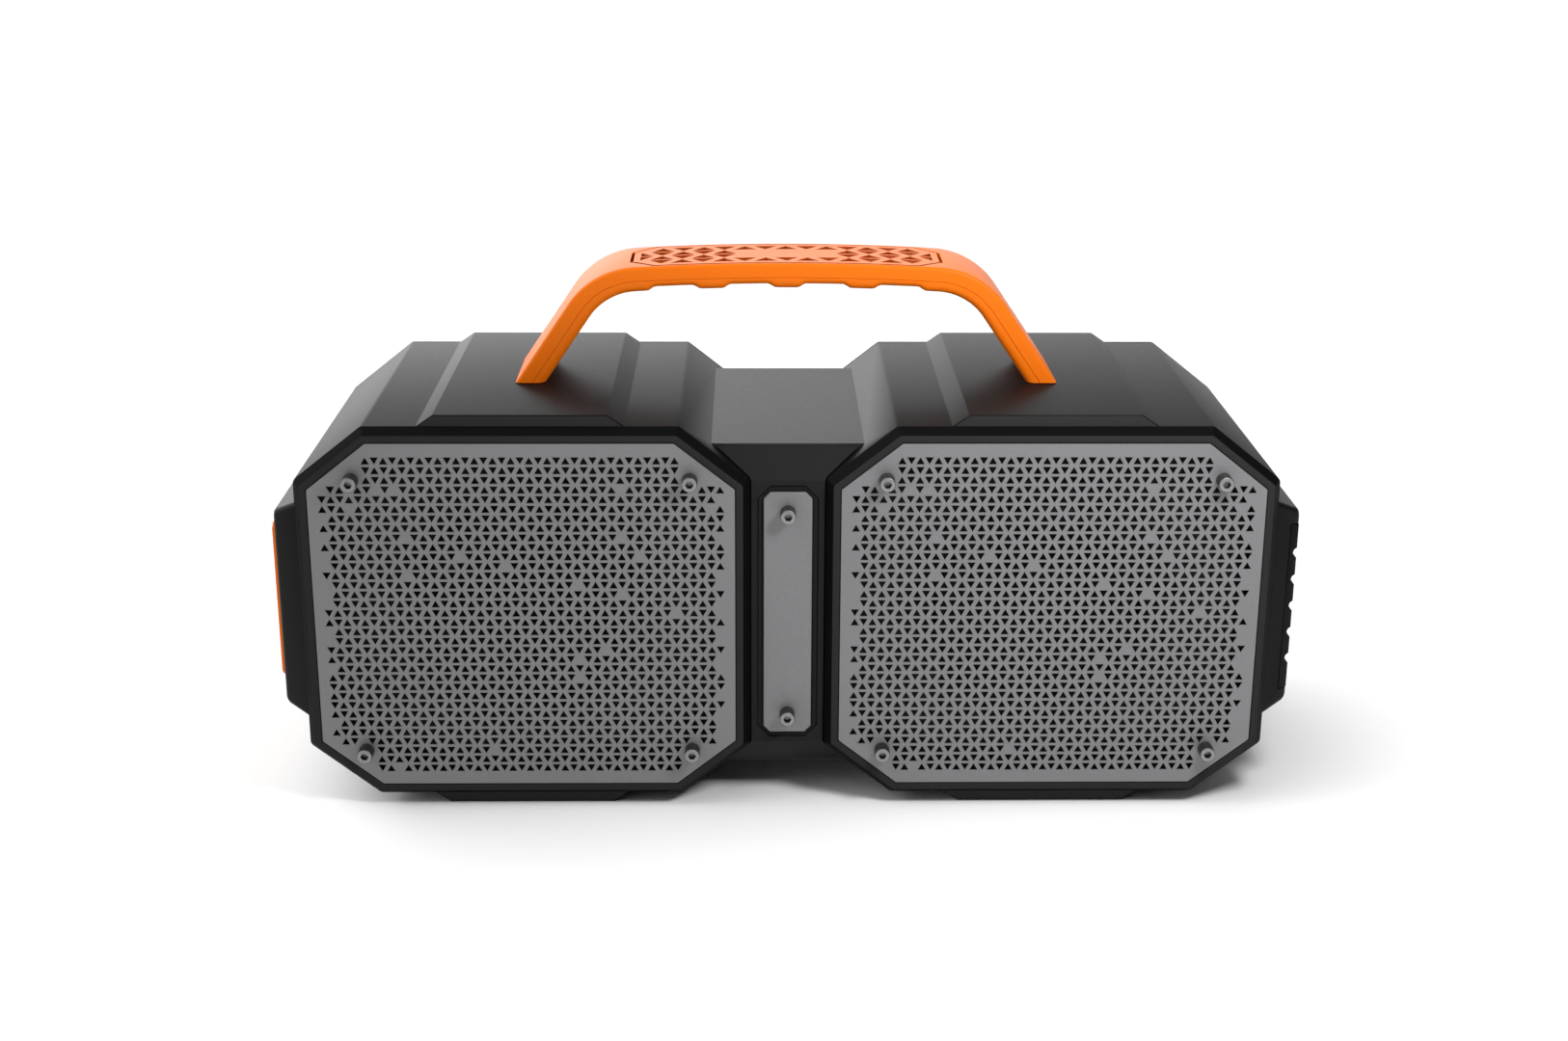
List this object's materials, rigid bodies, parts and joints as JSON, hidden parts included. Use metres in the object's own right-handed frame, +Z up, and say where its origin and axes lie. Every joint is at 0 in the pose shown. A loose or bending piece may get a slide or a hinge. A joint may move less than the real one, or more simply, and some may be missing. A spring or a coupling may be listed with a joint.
{
  "type": "portable loudspeaker",
  "caption": "Rugged portable battery loudspeaker with octagonal perforated grilles, a bridge-shaped carry handle, side push keys and a ribbed hinged door over its sockets.",
  "frame": {"origin": "on the floor, under the middle of the outer box", "axes": "+X to the right of someone facing the grilles, the grilles face -Y, +Z up"},
  "size_m": [0.4023, 0.1506, 0.21],
  "materials": {
    "body_plastic": "fine moulded texture",
    "trim_plastic": "satin",
    "grille_metal": "fine metallic grey",
    "screw_steel": "satin",
    "orange_plastic": "satin",
    "rubber": "matte",
    "cone_paper": "pressed fibre, matte",
    "driver_steel": "satin black",
    "copper_winding": "varnished copper",
    "circuit_board": "solder mask",
    "battery_wrap": "shrink wrap",
    "socket_metal": "plated"
  },
  "bodies": {
    "housing": {"cabinet": "body_plastic", "rear_cover": "body_plastic", "bezel_left": "trim_plastic", "bezel_right": "trim_plastic", "centre_panel": "trim_plastic", "centre_plate": "grille_metal", "grille_left": "grille_metal", "grille_right": "grille_metal", "grille_screw_left_top_outer": "screw_steel", "grille_screw_left_top_inner": "screw_steel", "grille_screw_left_bottom_outer": "screw_steel", "grille_screw_left_bottom_inner": "screw_steel", "grille_screw_right_top_outer": "screw_steel", "grille_screw_right_top_inner": "screw_steel", "grille_screw_right_bottom_outer": "screw_steel", "grille_screw_right_bottom_inner": "screw_steel", "plate_screw_top": "screw_steel", "plate_screw_bottom": "screw_steel", "rear_screw_left_top_outer": "screw_steel", "rear_screw_left_top_inner": "screw_steel", "rear_screw_left_bottom_outer": "screw_steel", "rear_screw_left_bottom_inner": "screw_steel", "rear_screw_right_top_outer": "screw_steel", "rear_screw_right_top_inner": "screw_steel", "rear_screw_right_bottom_outer": "screw_steel", "rear_screw_right_bottom_inner": "screw_steel", "handle_screw_left": "screw_steel", "handle_screw_right": "screw_steel", "driver_frame_left": "driver_steel", "driver_frame_right": "driver_steel", "driver_motor_left": "driver_steel", "driver_motor_right": "driver_steel", "surround_left": "rubber", "surround_right": "rubber", "spider_left": "cone_paper", "spider_right": "cone_paper", "handle_shell": "orange_plastic", "handle_grip": "orange_plastic", "handle_pad": "orange_plastic", "key_panel": "orange_plastic", "key_board": "circuit_board", "door_pin": "screw_steel", "port_panel": "body_plastic", "usb_socket": "socket_metal", "charge_socket": "socket_metal", "audio_socket": "socket_metal", "main_board": "circuit_board", "battery_pack": "battery_wrap", "battery_strap": "driver_steel"},
    "left_cone": {"cone_left": "cone_paper", "voice_coil_left": "copper_winding"},
    "right_cone": {"cone_right": "cone_paper", "voice_coil_right": "copper_winding"},
    "power_key": {"key_power": "orange_plastic"},
    "minus_key": {"key_minus": "orange_plastic"},
    "play_key": {"key_play": "orange_plastic"},
    "plus_key": {"key_plus": "orange_plastic"},
    "pair_key": {"key_pair": "orange_plastic"},
    "door": {"port_door": "body_plastic"}
  },
  "joints": [
    {"name": "left_cone_stroke", "type": "slide", "parent": "housing", "child": "left_cone", "axis": [0, -1, 0], "range_m": [-0.003, 0.003], "stiffness_N_per_m": 1000, "deforming": ["surround_left", "spider_left"]},
    {"name": "right_cone_stroke", "type": "slide", "parent": "housing", "child": "right_cone", "axis": [0, -1, 0], "range_m": [-0.003, 0.003], "stiffness_N_per_m": 1000, "deforming": ["surround_right", "spider_right"]},
    {"name": "power_key_press", "type": "slide", "parent": "housing", "child": "power_key", "axis": [1, 0, 0], "range_m": [0, 0.001], "stiffness_N_per_m": 800},
    {"name": "minus_key_press", "type": "slide", "parent": "housing", "child": "minus_key", "axis": [1, 0, 0], "range_m": [0, 0.001], "stiffness_N_per_m": 800},
    {"name": "play_key_press", "type": "slide", "parent": "housing", "child": "play_key", "axis": [1, 0, 0], "range_m": [0, 0.001], "stiffness_N_per_m": 800},
    {"name": "plus_key_press", "type": "slide", "parent": "housing", "child": "plus_key", "axis": [1, 0, 0], "range_m": [0, 0.001], "stiffness_N_per_m": 800},
    {"name": "pair_key_press", "type": "slide", "parent": "housing", "child": "pair_key", "axis": [1, 0, 0], "range_m": [0, 0.001], "stiffness_N_per_m": 800},
    {"name": "door_swing", "type": "hinge", "parent": "housing", "child": "door", "pos_m": [0.19825, 0.0542, 0.08055], "axis": [0, 0, 1], "range_deg": [0, 95]}
  ]
}
